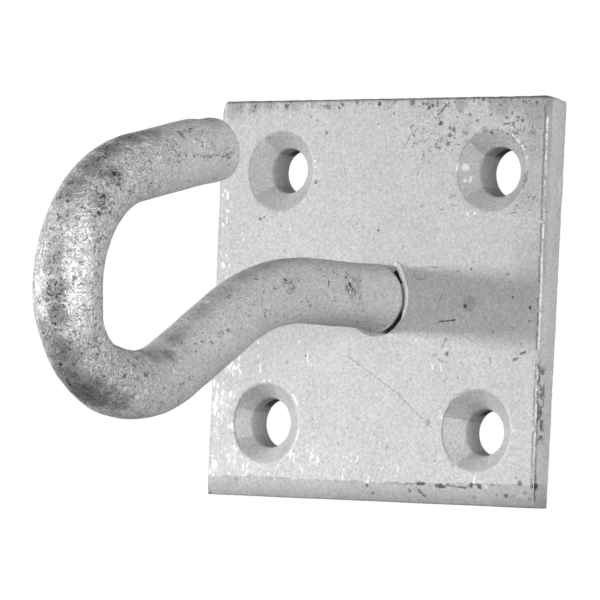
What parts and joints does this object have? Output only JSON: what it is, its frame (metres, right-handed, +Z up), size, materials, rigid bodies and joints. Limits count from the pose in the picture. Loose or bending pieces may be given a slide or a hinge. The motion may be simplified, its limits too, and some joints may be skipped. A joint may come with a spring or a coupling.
{
  "type": "hook on plate",
  "caption": "Open round-bar hook welded to a square countersunk wall plate, hot-dip galvanised, for chains, gate hooks and rings.",
  "frame": {"origin": "centre of the plate's back face, which lies on the wall or post", "axes": "+Z up, +Y into the wall, so the hook reaches out along -Y; +X to the right seen from the front"},
  "size_m": [0.05, 0.068, 0.05],
  "materials": {
    "zinc_plate": "hot-dip galvanised mild steel, pale matt grey with fine grain, dark pits along the sheared edges",
    "zinc_bar": "hot-dip galvanised mild steel, mid grey with bright rubbed patches and dark pitting on the far bend",
    "zinc_flash": "zinc-coated weld flash, thin bright lip with a dark crack"
  },
  "bodies": {
    "root": {"back_plate": "zinc_plate", "hook_bar": "zinc_bar", "weld_flash": "zinc_flash"}
  },
  "joints": []
}
